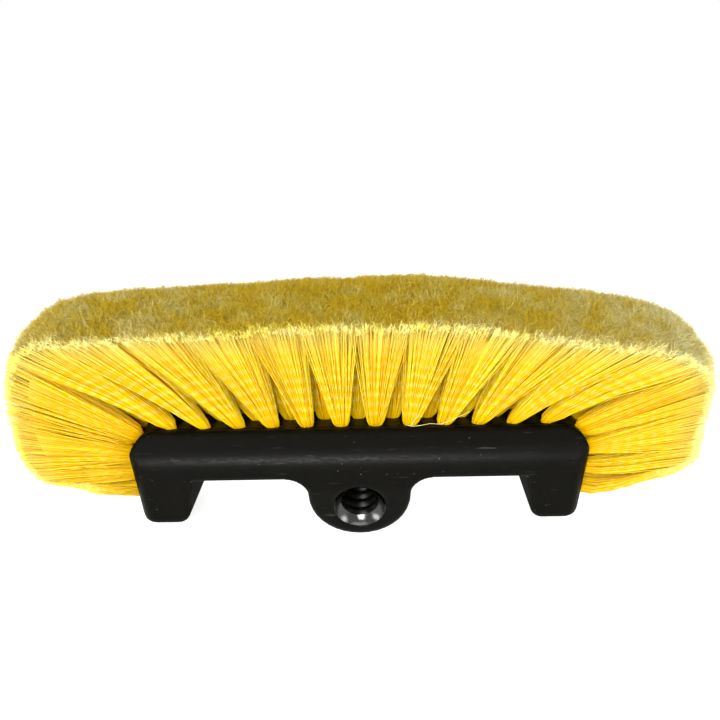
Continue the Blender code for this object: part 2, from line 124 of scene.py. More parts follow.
def make_polypropylene(name, smoothest, roughest, specular, grain_strength=0.3):
    material, shader = new_material(name)
    place = add_node(material, "TexCoord").outputs["Object"]
    clouds = add_node(material, "TexNoise", {"Vector": place, "Scale": 1 / CLOUD, "Detail": 4.0}).outputs["Fac"]
    grain = add_node(material, "TexNoise", {"Vector": place, "Scale": 1 / GRAIN, "Detail": 3.0}).outputs["Fac"]
    # Noise that is squeezed across and stretched along makes hairline scratches
    drawn_out = add_node(material, "Mapping", {
        "Vector": place, "Rotation": (0.2, 0.1, 0.12),
        "Scale": (1 / SCRATCH_LENGTH, 1 / SCRATCH_WIDTH, 1 / SCRATCH_WIDTH)})
    hairs = add_node(material, "TexNoise", {"Vector": drawn_out.outputs[0], "Scale": 1.0, "Detail": 2.0})
    scratch = add_node(material, "MapRange", {"Value": hairs.outputs["Fac"], "From Min": 0.68, "From Max": 0.76})
    # Dust: small round specks, only where a broad noise allows them
    cells = add_node(material, "TexVoronoi", {"Vector": place, "Scale": 1 / SPECK_SPACING})
    speck = add_node(material, "MapRange", {"Value": cells.outputs["Distance"], "From Min": 0.10, "From Max": 0.05})
    patches = add_node(material, "TexNoise", {"Vector": place, "Scale": 1 / DUSTY_PATCH})
    dusty = add_node(material, "MapRange", {"Value": patches.outputs["Fac"], "From Min": 0.54, "From Max": 0.66})
    dust = add_node(material, "Math", {0: speck.outputs[0], 1: dusty.outputs[0]}, operation="MULTIPLY")
    cloudy = add_node(material, "Mix", {0: clouds, 6: linear("#030302"), 7: linear("#080805")}, data_type="RGBA")
    scratched = add_node(material, "Mix", {0: scratch.outputs[0], 6: cloudy.outputs[2], 7: linear("#2a2a25")},
                         data_type="RGBA")
    colour = add_node(material, "Mix", {0: dust.outputs[0], 6: scratched.outputs[2], 7: linear("#5a5952")},
                      data_type="RGBA")
    # Rubbing has polished the grain unevenly, in short dashes along the block
    dashes = add_node(material, "Mapping", {
        "Vector": place, "Scale": (1 / DASH_LENGTH, 1 / DASH_WIDTH, 1 / DASH_WIDTH)})
    rubbed = add_node(material, "TexNoise", {"Vector": dashes.outputs[0], "Scale": 1.0, "Detail": 2.0})
    polish = add_node(material, "MapRange", {
        "Value": rubbed.outputs["Fac"], "From Min": 0.35, "From Max": 0.65, "To Min": smoothest, "To Max": roughest})
    # The faces square to the length slide against the tool and come out dull
    across = add_node(material, "SeparateXYZ", {0: add_node(material, "NewGeometry").outputs["True Normal"]})
    steep = add_node(material, "Math", {0: across.outputs["X"]}, operation="ABSOLUTE")
    roughness = add_node(material, "MapRange", {
        "Value": steep.outputs[0], "From Min": 0.8, "From Max": 0.95, "To Min": polish.outputs[0], "To Max": 0.95})
    # The tool's edges are broken, so light rolls over them softly
    soft_edge = add_node(material, "Bevel", {"Radius": BROKEN_EDGE}, samples=6)
    bump = add_node(material, "Bump", {
        "Height": grain, "Strength": grain_strength, "Distance": GRAIN_DEPTH, "Normal": soft_edge.outputs[0]})
    fill_inputs(material, shader, {
        "Base Color": colour.outputs[2], "Roughness": roughness.outputs[0], "Normal": bump.outputs[0],
        "IOR": 1.49, "Specular IOR Level": specular})
    return material


satin_black = make_polypropylene(
    "moulded_polypropylene_satin_black", smoothest=0.28, roughest=0.44, specular=0.055)
gloss_black = make_polypropylene(
    "moulded_polypropylene_polished_black", smoothest=0.08, roughest=0.15, specular=0.7, grain_strength=0.04)
worn_black = make_polypropylene(
    "moulded_polypropylene_worn_thread_black", smoothest=0.2, roughest=0.28, specular=0.06, grain_strength=0.05)
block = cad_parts["block"]
block.data.materials.clear()
block.data.materials.append(satin_black)
print("block finished in", satin_black.name)

# %% [markdown]
# ## Crimped filament
# Wash brush filament is extruded plastic, coloured right through and crimped into a fine wave so that the tuft stays
# full. The crimps of neighbours lie side by side and catch the light together, in pale cross bands. The wave is about
# 5.6 mm long and too shallow to model on every filament, so its pale bands are a painted highlight in the material,
# from the distance along the filament that the mesh carries as an attribute. The ends are flagged: split by a machine
# into hairs so fine that they scatter light, and look paler than the filament. Over the crown they are matted, and
# their colour is painted darker, between mustard and khaki: a painted shade of the top, which gets less light.

# %% Materials of the filament and of its flagged ends
CRIMP_MM, FILAMENT_IOR = 5.6, 1.5


def make_filament(name):
    material, shader = new_material(name)
    run, shade, along, tone, crown = [
        add_node(material, "Attribute", attribute_name=key).outputs["Fac"]
        for key in ("run_mm", "shade", "along", "tone", "crown")]
    # A wave along the filament mixes in a pale yellow: the crimp's painted highlight
    turns = add_node(material, "Math", {0: run, 1: 2 * math.pi / CRIMP_MM}, operation="MULTIPLY")
    shifted = add_node(material, "Math", {0: turns.outputs[0], 1: shade}, operation="ADD")
    wave = add_node(material, "Math", {0: shifted.outputs[0]}, operation="SINE")
    painted_crimp_highlight = add_node(material, "MapRange", {"Value": wave.outputs[0], "From Min": -0.1, "From Max": 1.0})
    # Along the filament: deeper at the root, a painted shade where it leaves its hole, and paler towards the end,
    # partly the flagged end's own paleness and partly painted light
    body = add_node(material, "ValToRGB", {"Fac": along})
    set_stops(body, ((0.0, "#f4c800"), (0.08, "#fdd804"), (0.5, "#fedc04"), (0.75, "#fee024"), (1.0, "#fff088")))
    # The painted crimp highlight shows from just above the fold up to the flagged end
    clear = add_node(material, "ValToRGB", {"Fac": along})
    set_stops(clear, ((0.08, "#202020"), (0.2, "#c8c8c8"), (0.5, "#e0e0e0"), (0.8, "#c0c0c0"), (1.0, "#000000")))
    strength = add_node(material, "Math", {0: painted_crimp_highlight.outputs[0], 1: clear.outputs["Color"]}, operation="MULTIPLY")
    crimped = add_node(material, "Mix", {0: strength.outputs[0], 6: body.outputs["Color"], 7: linear("#fff584")},
                       data_type="RGBA")
    # No two filaments have quite the same depth of colour
    tint = add_node(material, "ValToRGB", {"Fac": tone})
    set_stops(tint, ((0.0, "#b07c24"), (0.08, "#e8bc64"), (0.3, "#f0e4b4"), (1.0, "#ffffff")))
    tinted = add_node(material, "Mix", {0: 1.0, 6: crimped.outputs[2], 7: tint.outputs["Color"]},
                      data_type="RGBA", blend_type="MULTIPLY")
    # On the crown the ends are painted darker: a painted shade of the top, which gets less light than the sides
    end = add_node(material, "MapRange", {"Value": along, "From Min": 0.9, "From Max": 1.0})
    crown_shaded = add_node(material, "Math", {0: end.outputs[0], 1: crown}, operation="MULTIPLY")
    colour = add_node(material, "Mix", {0: crown_shaded.outputs[0], 6: tinted.outputs[2], 7: linear("#ac8c04")},
                      data_type="RGBA")
    fill_inputs(material, shader, {
        "Base Color": colour.outputs[2], "Roughness": 0.5, "IOR": FILAMENT_IOR, "Specular IOR Level": 0.15})
    return material


def make_flagged_end(name):
    material, shader = new_material(name)
    tone, crown = [add_node(material, "Attribute", attribute_name=key).outputs["Fac"] for key in ("tone", "crown")]
    side_colour = add_node(material, "ValToRGB", {"Fac": tone})
    set_stops(side_colour, ((0.0, "#ffe828"), (0.5, "#fff054"), (1.0, "#fff6a4")))
    # On the crown the hairs are painted darker: a painted shade of the top, which gets less light than the sides
    dull = add_node(material, "ValToRGB", {"Fac": tone})
    set_stops(dull, ((0.0, "#b08e00"), (0.4, "#ae9610"), (1.0, "#c0ba84")))
    colour = add_node(material, "Mix", {0: crown, 6: side_colour.outputs["Color"], 7: dull.outputs["Color"]},
                      data_type="RGBA")
    fill_inputs(material, shader, {
        "Base Color": colour.outputs[2], "Roughness": 0.6, "IOR": FILAMENT_IOR, "Specular IOR Level": 0.25})
    return material


yellow_filament = make_filament("crimped_filament_yellow")
flagged_end = make_flagged_end("flagged_filament_end_pale")
print("filament materials", yellow_filament.name, flagged_end.name)

# %% [markdown]
# ## The pattern of the tufts
# Each tuft sits in a hole of 5.6 mm. The holes stand in staggered rows, 10.6 mm apart from front to back, and the
# pattern runs on over the rounded corners and down both ends. A place on the block's middle outline is given by its
# length along that outline, so that one function serves top, corner and end. Columns and half columns are counted
# from the middle, as in the solid model.

# %% Places on the block
HALF_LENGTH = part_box("block")[1].x
CORNER_RADIUS = 10 * MM
END_DRAFT = math.radians(10)
CORNER_TURN = math.pi / 2 + END_DRAFT
FLAT_HALF, CORNER_LENGTH = HALF_LENGTH - CORNER_RADIUS, CORNER_RADIUS * CORNER_TURN
TOP_PITCH, CORNER_PITCH, END_PITCH, ROW_PITCH = 14.1 * MM, 14.0 * MM, 7.8 * MM, 10.6 * MM
LAST_TOP_COLUMN, FIRST_END_COLUMN, LAST_END_COLUMN, LAST_ROW = 5.5, 6.5, 9.5, 2
HOLE_RADIUS = 2.8 * MM


def on_outline(along, inset=0.0):
    """A point of the right half of the block's outline, and the way out of the surface there."""
    turn = min(max((along - FLAT_HALF) / CORNER_RADIUS, 0.0), CORNER_TURN)
    down = max(along - FLAT_HALF - CORNER_LENGTH, 0.0)
    outward = Vector((math.sin(turn), 0.0, math.cos(turn)))
    centre = Vector((min(along, FLAT_HALF), 0.0, FACE_HEIGHT - CORNER_RADIUS))
    down_the_end = Vector((-math.sin(END_DRAFT), 0.0, -math.cos(END_DRAFT))) * down
    return centre + outward * (CORNER_RADIUS - inset) + down_the_end, outward


def column_place(column):
    """Length along the outline of a column of tufts, over the top, round the corner and down the end."""
    on_corner = min(max(column - LAST_TOP_COLUMN, 0.0), 1.0)
    on_end = max(column - FIRST_END_COLUMN, 0.0)
    return TOP_PITCH * min(column, LAST_TOP_COLUMN) + CORNER_PITCH * on_corner + END_PITCH * on_end


tufts_of_node = {"tufts_middle": (1, [(0, -1), (0, 1)])}
for side_name, side in (("right", 1), ("left", -1)):
    for strip in range(6):
        pairs = [(strip + 0.5, row) for row in (-2, 0, 2)] + [(strip + 1, row) for row in (-1, 1)]
        tufts_of_node[f"tufts_{side_name}_top_{strip + 1}"] = (side, pairs)
    for row in range(-2, 3):
        first, levels = (FIRST_END_COLUMN, 4) if row % 2 == 0 else (FIRST_END_COLUMN + 0.5, 3)
        pairs = [(first + level, row) for level in range(levels)]
        tufts_of_node[f"tufts_{side_name}_end_{row + 3}"] = (side, pairs)
print("tufts", sum(len(pairs) for _, pairs in tufts_of_node.values()))

# %% [markdown]
# ## The trimmed outline
# After the tufts are set, the brush is sheared to a rounded outline: highest along the middle, falling to the front
# and back, and turning down over both ends. The tables give the tip of each column as a share of the half length and
# of the trim height, and a smooth curve runs through them. The photograph shows that the real shears left the left
# side fuller than the right, so each side (1 is right, -1 is left) has its own tables.

# %% Where filaments end
BRUSH_HALF_LENGTH, BRUSH_HALF_DEPTH, TRIM_HEIGHT = 152 * MM, 53 * MM, 58 * MM
EDGE_ROW = 2.5
TIP_REACH = {
    1: (0.067, 0.2, 0.349, 0.506, 0.681, 0.865, 0.955, 0.943, 0.93, 0.885, 0.81),
    -1: (0.067, 0.199, 0.348, 0.515, 0.695, 0.85, 0.938, 0.942, 0.885, 0.78, 0.68),
}
TIP_HEIGHT = {
    1: (0.985, 0.976, 0.945, 0.895, 0.832, 0.714, 0.445, 0.03, -0.255, -0.43, -0.54),
    -1: (0.985, 0.978, 0.953, 0.93, 0.91, 0.84, 0.55, 0.01, -0.311, -0.482, -0.62),
}
TIP_SPREAD = (1.0, 1.0, 1.0, 1.0, 0.99, 0.97, 0.92, 0.87, 0.83, 0.78, 0.72)
TIP_ROUND = (0.0, 0.0, 0.0, 0.005, 0.02, 0.04, 0.06, 0.072, 0.075, 0.075, 0.075)
TIP_DROP = {
    1: (0.17, 0.17, 0.175, 0.19, 0.19, 0.146, 0.065, -0.022, -0.1, -0.188, -0.246),
    -1: (0.17, 0.17, 0.171, 0.169, 0.163, 0.146, 0.09, 0.024, -0.056, -0.196, -0.248),
}


def through(table, columns, odd=False):
    """A smooth curve through a table whose first entry is at column 0.5."""
    inner = [-v for v in table[3::-1]] if odd else list(table[3::-1])
    values = np.array(inner + list(table) + [2 * table[-1] - table[-2], 3 * table[-1] - 2 * table[-2]])
    step = columns - 0.5 + len(inner)
    low = np.floor(step).astype(int)
    part = step - low
    before, start, end, after = (values[low + shift] for shift in (-1, 0, 1, 2))
    return (2 * start + (end - before) * part + (2 * before - 5 * start + 4 * end - after) * part ** 2
            + (3 * start - before - 3 * end + after) * part ** 3) / 2


def tips(columns, rows, side):
    """Points of the trimmed outline, for arrays of columns and rows."""
    outward = (rows / EDGE_ROW) ** 2
    x = through(TIP_REACH[side], columns, odd=True) * BRUSH_HALF_LENGTH * (1 - through(TIP_ROUND, columns) * outward)
    y = BRUSH_HALF_DEPTH * through(TIP_SPREAD, columns) * rows / EDGE_ROW
    z = TRIM_HEIGHT * (through(TIP_HEIGHT[side], columns) - through(TIP_DROP[side], columns) * outward)
    return np.stack([x * side, y, z + FACE_HEIGHT], axis=1)


middle_tip = tips(np.array([0.0]), np.array([0.0]), 1)[0]
print("middle of the crown", round(middle_tip[2] / MM, 1), "mm above the floor")

# %% [markdown]
# ## Tubes and ribbons by the thousand
# Thousands of filaments are too many for a loop over single points, so they are made as arrays: each filament is a
# line of points, and a thin triangle is drawn round every point of every line at once. A flagged hair is so fine
# that a flat ribbon does as well as a tube, with half the faces.

# %% Mesh from lines
def unit(vectors):
    return vectors / np.maximum(np.linalg.norm(vectors, axis=-1, keepdims=True), 1e-12)


def swept_faces(lines, rings, sides, closed, first_vertex):
    """The quads between the rings of every line."""
    steps = sides if closed else sides - 1
    line, ring, step = np.meshgrid(np.arange(lines), np.arange(rings - 1), np.arange(steps), indexing="ij")
    here = (line * rings + ring) * sides + first_vertex
    after = (step + 1) % sides
    quads = np.stack([here + step, here + after, here + sides + after, here + sides + step], axis=-1)
    return quads.reshape(-1, 4)


def sweep(points, radii, sides, seed):
    """Points round each point of each line: a tube of some sides, or a ribbon of two."""
    rng = np.random.default_rng(seed)
    heading = unit(points[:, -1] - points[:, 0])
    across = unit(np.cross(heading, unit(rng.normal(size=heading.shape))))
    upright = np.cross(heading, across)
    turns = 2 * math.pi * np.arange(sides) / sides
    ring = across[:, None, :] * np.cos(turns)[:, None] + upright[:, None, :] * np.sin(turns)[:, None]
    return points[:, :, None, :] + ring[:, None, :, :] * radii[:, :, None, None]


def mesh_of(name, vertices, quads, material_of_face, attributes, materials):
    """A smooth mesh from its arrays, with a number for each point under each attribute's name."""
    mesh = bpy.data.meshes.new(name)
    mesh.vertices.add(len(vertices))
    mesh.vertices.foreach_set("co", vertices.astype(np.float32).ravel())
    mesh.loops.add(quads.size)
    mesh.loops.foreach_set("vertex_index", quads.astype(np.int32).ravel())
    mesh.polygons.add(len(quads))
    mesh.polygons.foreach_set("loop_start", np.arange(len(quads), dtype=np.int32) * 4)
    mesh.polygons.foreach_set("material_index", material_of_face.astype(np.int32))
    mesh.update(calc_edges=True)
    for key, values in attributes.items():
        mesh.attributes.new(key, "FLOAT", "POINT").data.foreach_set("value", values.astype(np.float32))
    for material in materials:
        mesh.materials.append(material)
    mesh.shade_smooth()
    return mesh


print("faces of a line of 7 rings of 3 sides", len(swept_faces(1, 7, 3, True, 0)))

# %% [markdown]
# ## The bundle of one tuft
# A tuft leaves its hole as a round bundle, a little more upright than it ends, and spreads to the patch of the trimmed
# outline that belongs to it. Hair tools could be combed to that, but here every end has to lie on a known outline, so
# each line simply runs from a point of the hole to a point of the patch. One function bends and opens the bundle, and
# it serves both the filaments and the dense middle of the tuft.

# %% Lines through a tuft
STEPS = np.array([0.0, 0.033, 0.07, 0.2, 0.45, 0.72, 1.0])
BUNDLE_RADIUS = np.array([1.8, 2.5, 3.1, 3.5, 3.7, 3.7, 3.7]) * MM
CORNER_COLUMNS, CORNER_FULLNESS = (5, 7.2), np.where(STEPS > 0.05, 1.3, 1.0)
OPENED = (STEPS ** 1.05)[None, :, None]
FOLD_DEPTH, BEND = 2 * MM, 6 * MM
SAG, SAG_COLUMNS = 3.2 * MM, (7.8, 9.3)
BENT = (6.75 * STEPS * (1 - STEPS) ** 2)[:, None]  # 1 where it is largest, a third of the way up


def smooth_rise(values, low, high):
    """A share that rises smoothly from 0 to 1 between low and high."""
    share = np.clip((values - low) / (high - low), 0, 1)
    return share * share * (3 - 2 * share)


def hole_and_aim(column, row, side):
    """A tuft's hole, the way out of the surface there, and the middle of the tuft's trimmed end."""
    hole, outward = on_outline(column_place(column))
    hole = np.array([hole.x * side, row * ROW_PITCH, hole.z])
    outward = np.array([outward.x * side, 0.0, outward.z])
    return hole, outward, tips(np.array([float(column)]), np.array([float(row)]), side)[0]


def tuft_lines(column, row, side, square, spread, short):
    """Lines from places in a tuft's hole to places on the trimmed outline, and the way each leans."""
    hole, outward, middle = hole_and_aim(column, row, side)
    disc = square * np.sqrt(1 - square[:, ::-1] ** 2 / 2)
    downhill = np.array([outward[2], 0.0, -outward[0]]) * side
    aside = disc[:, :1] * downhill + disc[:, 1:] * np.array([0.0, 1.0, 0.0])
    ends = tips(column + spread[:, 0], (row + spread[:, 1]).clip(-EDGE_ROW, EDGE_ROW), side)
    lean = unit(ends - hole)
    ends = ends - lean * short
    aim = unit(middle - hole)
    root = hole - aim * FOLD_DEPTH
    # A tuft leaves its hole more upright than it ends
    bow = outward * BEND * (1 - aim @ outward)
    # The lowest tufts at the right end hang down a little
    bow[2] -= SAG * smooth_rise(column, *SAG_COLUMNS) if side > 0 else 0.0
    axis = root + (middle - root) * STEPS[:, None] + bow * BENT
    # Above its fold it stays a round bundle, fuller round the corner, and opens towards the trimmed end
    width = BUNDLE_RADIUS * (CORNER_FULLNESS if CORNER_COLUMNS[0] < column < CORNER_COLUMNS[1] else 1.0)
    lines = axis + aside[:, None] * width[None, :, None] * (1 - OPENED) + (ends - middle)[:, None] * OPENED
    return lines, lean


print("rings of each line, as shares of its length", STEPS)

# %% [markdown]
# ## Filaments of one tuft
# Some hundreds of filaments are folded into each tuft. They fan out to its patch of the trimmed outline, and the
# patches overlap a little, as real tufts mingle. Chance gives each filament its own place, length and bow, since a
# regular bundle looks like a comb. A real filament is about 0.2 mm thick, and is drawn at 0.28 mm so that it shows.

# %% Filaments
PER_TUFT = 330
FILAMENT_RADIUS = 0.14 * MM
# Shares of a pitch: half a patch, how far an end strays from its place, and how unevenly the crown, matted and painted
# in shade, ends
PATCH, WANDER, EDGE_BLUR, CORNER_BLUR = 0.52, 0.07, 0.04, 0.2
# Where the crown, matted and painted in shade, fades out: its last row, and its last columns. Beyond column 6 the
# tufts are on the ends
CROWN_ROW, CROWN_COLUMNS, LAST_CROWN_COLUMN, RIGHT_FROM = 2.12, (5.9, 7.2), 6, 3
TRIMMED_MM, MATTED_MM, UNEVEN_MM, UNEVEN_TUFT_MM = 1.0, 2.0, 0.8, 0.6
BOW, LOOSE_SHARE, LOOSE_BOW = 0.7 * MM, 0.03, 4.0
BOWED = 2 * (STEPS ** 2 * (1.25 - STEPS))[None, :, None]
# Radians of the crimp: how its painted highlight bands arch and tilt over a tuft, and how far neighbours are out of
# step
ARCH, TILT = 0.9, 0.6
STEP_LEAST, STEP_MOST, STEP_RIGHT, STEP_END = 0.2, 0.7, 0.6, 1.8


def filament_lines(column, row, side, rng):
    """Lines of one tuft's filaments, the way each leans, its crimp's shift and how far its end lies on the crown."""
    each, one = (PER_TUFT, 2), (PER_TUFT, 1)
    square = rng.uniform(-1, 1, size=each)
    # Filaments cross a little on their way, so no straight gap opens between them
    spread = PATCH * square + rng.normal(0, WANDER, size=each)
    edge = np.abs(row + spread[:, 1]) + rng.normal(0, EDGE_BLUR, PER_TUFT)
    corner = column + spread[:, 0] + rng.normal(0, CORNER_BLUR, PER_TUFT)
    crown = smooth_rise(-edge, -EDGE_ROW, -CROWN_ROW) * smooth_rise(-corner, -CROWN_COLUMNS[1], -CROWN_COLUMNS[0])
    short = TRIMMED_MM + MATTED_MM * crown[:, None] + rng.normal(0, UNEVEN_MM, size=one)
    short = (short + rng.normal(0, UNEVEN_TUFT_MM)) * MM
    lines, lean = tuft_lines(column, row, side, square, spread, short)
    # A slight bow, none at the root, and more in a few loose filaments
    loose = np.where(rng.random(one) < LOOSE_SHARE, LOOSE_BOW, 1.0)
    bow = unit(np.cross(lean, rng.normal(size=lean.shape))) * rng.normal(0, BOW, size=one) * loose
    lines += bow[:, None] * BOWED
    # The crimps lie side by side in most tufts, less so at the right, and are out of step at the ends
    stepped = rng.uniform(STEP_LEAST, STEP_MOST)
    stepped += STEP_END if column > LAST_CROWN_COLUMN else STEP_RIGHT if side * column > RIGHT_FROM else 0.0
    shift = ARCH * square[:, 0] ** 2 + TILT * square[:, 1] + rng.normal(0, stepped, PER_TUFT)
    return lines, lean, shift + rng.uniform(0, 2 * math.pi), crown


print("filaments of a tuft", PER_TUFT)

# %% [markdown]
# ## The dense middle of a tuft
# Far more filaments stand in a real tuft than can be modelled, and no light passes between them. Still more thin
# tubes would only cost memory, so a plain core fills the middle. It stays behind the outer filaments and ends well
# under the trimmed outline. Its deep tone is a painted shade of the dark inside of a tuft.

# %% Core
CORE_SIDES, CORE_SHARE, CORE_PATCH, CORE_SHORT = 12, 0.72, 0.38, 10 * MM


def core_ring_points(column, row, side):
    """The points of rings round a tuft's dense middle."""
    turns = 2 * math.pi * np.arange(CORE_SIDES) / CORE_SIDES
    square = np.stack([np.cos(turns), np.sin(turns)], axis=1)
    square = CORE_SHARE * square / np.abs(square).max(axis=1, keepdims=True)
    lines, _ = tuft_lines(column, row, side, square, CORE_PATCH * square, CORE_SHORT)
    return lines.transpose(1, 0, 2)


def core_faces(first_vertex):
    """The quads between a core's rings, and those that close its top."""
    wall = swept_faces(1, len(STEPS), CORE_SIDES, True, first_vertex)
    top = first_vertex + (len(STEPS) - 1) * CORE_SIDES
    lid = [[top + -step % CORE_SIDES, top + 1 + step, top + 2 + step, top + CORE_SIDES - 1 - step]
           for step in range(CORE_SIDES // 2 - 1)]
    return np.concatenate([wall, np.array(lid)])


print("faces of a core", len(core_faces(0)))

# %% [markdown]
# ## Flagged ends
# Each filament's end is split into hairs. Over the crown they start in the last 4 mm, splay out and lean towards the
# middle of a clump, which gives the fluff its lumpy look. On the sides there are fewer of them, and they still follow
# their filament. The real hairs are finer than a pixel by far, so they are drawn coarser, at 0.13 mm.

# %% Hairs
HAIRS_EACH = 10
HAIR_RADIUS = 0.065 * MM
HAIR_TAPER = np.array([1.1, 1.0, 0.45])
KEPT_ON_SIDES = 0.5
# Each pair is the value on the sides, and how much more it is on the crown
SPLIT_MM, WILDNESS, HAIR_MM = (1.2, 2.8), (0.22, 0.4), (1.1, 1.3)
CLUMP, CLUMP_PULL, KINK = 3.4 * MM, 0.3, 0.35 * MM
COLOUR_PATCH, PATCH_BLUR = 8 * MM, 1.2 * MM
# Clumps of a tone above this stand up to 3 mm proud, a few single hairs up to 4 mm, and the rest are pressed level
PROUD_TONE, PROUD, LEVEL, PRESSED = 0.7, 3.0 * MM, 1.1 * MM, 0.85
SINGLE_SHARE, SINGLE = 0.06, 4 * MM
# Places where the tone changes, and what each cause adds to it
RIM_FROM, RIM_TO = 0.74 * BRUSH_HALF_DEPTH, 0.98 * BRUSH_HALF_DEPTH
PALER_RIGHT_FROM, PALER_RIGHT_TO = 85 * MM, 145 * MM
DEEPEST_AT, DEEP_FROM, DEEP_TO = -10 * MM, 20 * MM, 75 * MM
OF_CLUMP, OF_PATCH, OF_HAIR, OF_RIM, OF_RIGHT_END, OF_DEPTH = 0.15, 0.55, 0.25, 0.5, 0.5, -0.18
GRID_TURN = np.array(Matrix.Rotation(0.6, 3, Vector((0.3, 0.2, 1.0))))
SCRAMBLE = np.array([[12.9, 78.2, 37.7], [39.3, 11.1, 83.1], [73.2, 52.2, 9.1]])


def clump_pull(points, size, seed):
    """The way from each point to the middle of its clump, on a jittered grid, and a tone for the clump."""
    turned = points @ GRID_TURN
    cell = np.floor(turned / size)
    mixed = np.sin(cell @ SCRAMBLE + seed) * 43758.5
    mixed = mixed - np.floor(mixed)
    way = (cell + 0.5 + (mixed - 0.5) * 0.8) * size - turned
    return way @ GRID_TURN.T, mixed[:, 0]


def hair_lines(lines, lean, crown, rng):
    """Split each end into short hairs that lie in all directions, matted into clumps."""
    pick = np.repeat(np.arange(len(lines)), HAIRS_EACH)
    # The rubbed crown is split finest, and the sides keep fewer hairs
    pick = pick[rng.random(len(pick)) < KEPT_ON_SIDES + (1 - KEPT_ON_SIDES) * crown[pick]]
    count = len(pick)
    end, before, on_crown = lines[pick, -1], lean[pick], crown[pick]
    split, stray, length = [base + more * on_crown for base, more in (SPLIT_MM, WILDNESS, HAIR_MM)]
    start = end - before * (rng.uniform(0.1, 1, size=count) * split)[:, None] * MM
    # On the crown they are matted by rubbing, and on the sides they still follow their filament
    stray = stray[:, None]
    way = unit(before * (rng.uniform(0.1, 1, size=(count, 1)) + 0.5 - stray) + rng.normal(0, 1, (count, 3)) * stray)
    tip = start + way * (rng.uniform(0.8, 1.8, size=count) * length)[:, None] * MM
    pull, tone = clump_pull(tip, CLUMP, 1.0)
    _, patch = clump_pull(tip + rng.normal(0, PATCH_BLUR, tip.shape), COLOUR_PATCH, 2.0)
    tip = tip + pull * CLUMP_PULL * on_crown[:, None]
    proud = np.sum((tip - end) * before, axis=1)
    highest = np.where(tone > PROUD_TONE, PROUD, LEVEL)
    highest = np.where(rng.random(count) < SINGLE_SHARE, SINGLE, highest)
    tip = tip - before * np.maximum(proud - highest, 0)[:, None] * PRESSED
    middle = (start + tip) / 2 + rng.normal(0, KINK, (count, 3))
    # The rim, front and back, is painted paler, a painted highlight on the edges; the right end is paler, the middle
    # deeper
    rim = smooth_rise(np.abs(end[:, 1]), RIM_FROM, RIM_TO)
    right_end = smooth_rise(end[:, 0], PALER_RIGHT_FROM, PALER_RIGHT_TO)
    deep = smooth_rise(-np.abs(end[:, 0] - DEEPEST_AT), -DEEP_TO, -DEEP_FROM)
    tone = OF_CLUMP * tone + OF_PATCH * patch + OF_HAIR * rng.uniform(0, 1, count)
    tone = np.clip(tone + OF_RIM * rim + OF_RIGHT_END * right_end + OF_DEPTH * deep, 0, 1)
    return np.stack([start, middle, tip], axis=1), tone, on_crown


print("hairs of a filament, at most", HAIRS_EACH)

# %% [markdown]
# ## All tufts, one piece for each node
# Each group of tufts in the solid model is replaced by a piece with the same tufts at full fineness. The mesh carries
# five attributes for its materials: how far along a filament is as a share, the same in millimetres, a shift of its
# crimp, a random tone, and how far its end lies on the crown, whose colour is painted darker as shade.

# %% Make the tuft pieces
TUBE_SIDES, RIBBON_SIDES = 3, 2
TUBE_TAPER = np.interp(STEPS, [0, 0.8, 1], [1, 1, 0.55])
THICKNESS, HAIR_THICKNESS = (0.8, 1.15), (0.7, 1.2)
# The cores' tone is a painted shade of the tuft's dark inside
TONE_POWER, END_TONE, CORE_SHADE_TONE, CORE_CROWN = 0.6, 0.6, 0.12, 0.4
FIRST_SEED, SEED_STEP = 100, 7


def add_object(name, data):
    """An object in the scene that holds a mesh, a lamp or the camera."""
    holder = bpy.data.objects.new(name, data)
    bpy.context.scene.collection.objects.link(holder)
    return holder


def add_piece(mesh):
    """An object of the mesh's name that belongs to the part."""
    piece = add_object(mesh.name, mesh)
    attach(piece, "root")
    return piece


